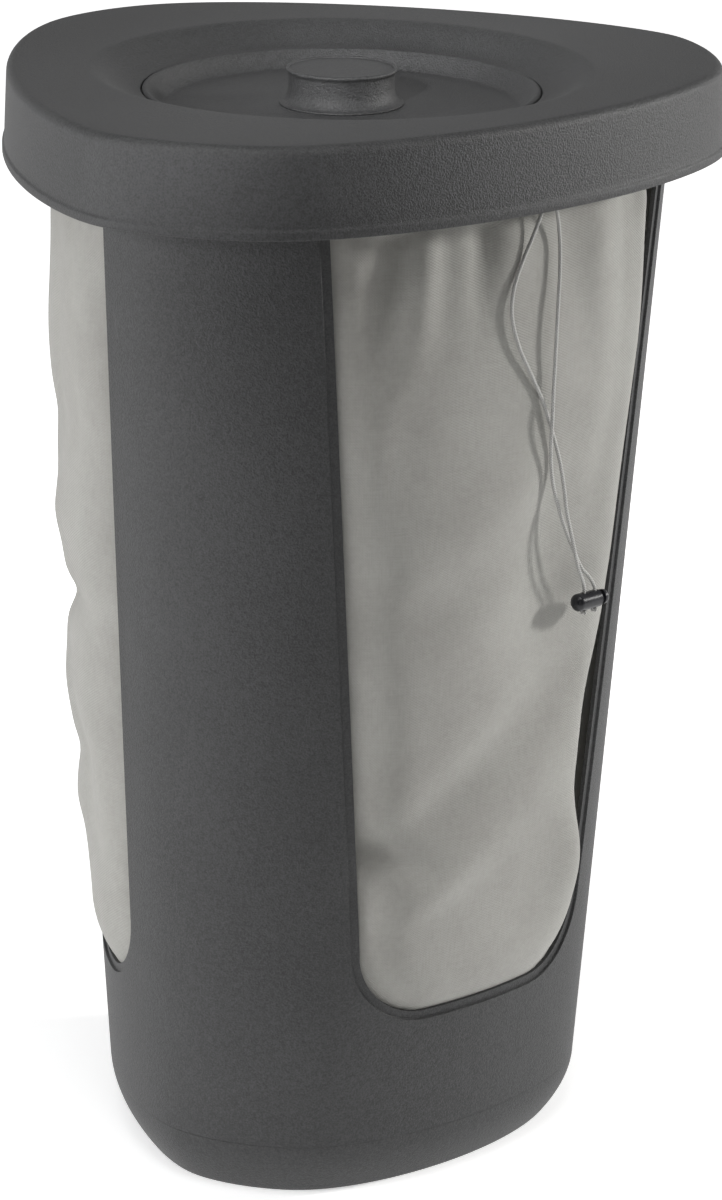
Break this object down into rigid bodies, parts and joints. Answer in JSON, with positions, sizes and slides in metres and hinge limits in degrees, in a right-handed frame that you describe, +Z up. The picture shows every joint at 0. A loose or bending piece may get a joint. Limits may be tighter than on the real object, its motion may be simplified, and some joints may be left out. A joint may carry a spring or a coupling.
{
  "type": "laundry hamper with lid",
  "caption": "Tapered rounded-triangle laundry hamper with open windows, a removable drawstring fabric bag and a dished lid with a round knobbed inner lid.",
  "frame": {"origin": "on the floor under the knob's axis, at the middle of the round inner lid", "axes": "+Z up; -Y towards the broad front window where the drawstring hangs; +Y towards the back corner; +X to the hamper's right as seen from above with the front below"},
  "size_m": [0.4512, 0.4124, 0.65],
  "materials": {
    "anthracite_plastic": "fine matte grain",
    "bag_fabric": "plain weave",
    "drawstring": "braided cord",
    "black_plastic": "satin moulded",
    "screw_steel": "zinc plated",
    "spring_steel": "bright wire"
  },
  "bodies": {
    "hamper": {"body_shell": "anthracite_plastic", "bag_wall": "bag_fabric", "bag_bottom": "bag_fabric", "bag_hem": "bag_fabric", "drawstring_hem": "drawstring", "drawstring_left": "drawstring", "drawstring_right": "drawstring", "cord_knots": "drawstring", "cord_lock_body": "black_plastic", "cord_lock_spring": "spring_steel"},
    "outer_lid": {"outer_lid": "anthracite_plastic"},
    "inner_lid": {"inner_lid": "anthracite_plastic", "lid_knob": "anthracite_plastic", "knob_cap": "anthracite_plastic", "knob_screw": "screw_steel"},
    "lock_button": {"cord_lock_plunger": "black_plastic"}
  },
  "joints": [
    {"name": "outer_lid_lift", "type": "slide", "parent": "hamper", "child": "outer_lid", "axis": [0, 0, 1], "range_m": [0, 0.25]},
    {"name": "inner_lid_lift", "type": "slide", "parent": "outer_lid", "child": "inner_lid", "axis": [0, 0, 1], "range_m": [0, 0.15]},
    {"name": "lock_button_press", "type": "slide", "parent": "hamper", "child": "lock_button", "axis": [-1, 0, 0], "range_m": [0, 0.0024], "stiffness_N_per_m": 300, "springref_m": -0.002, "deforming": ["cord_lock_spring"]}
  ]
}
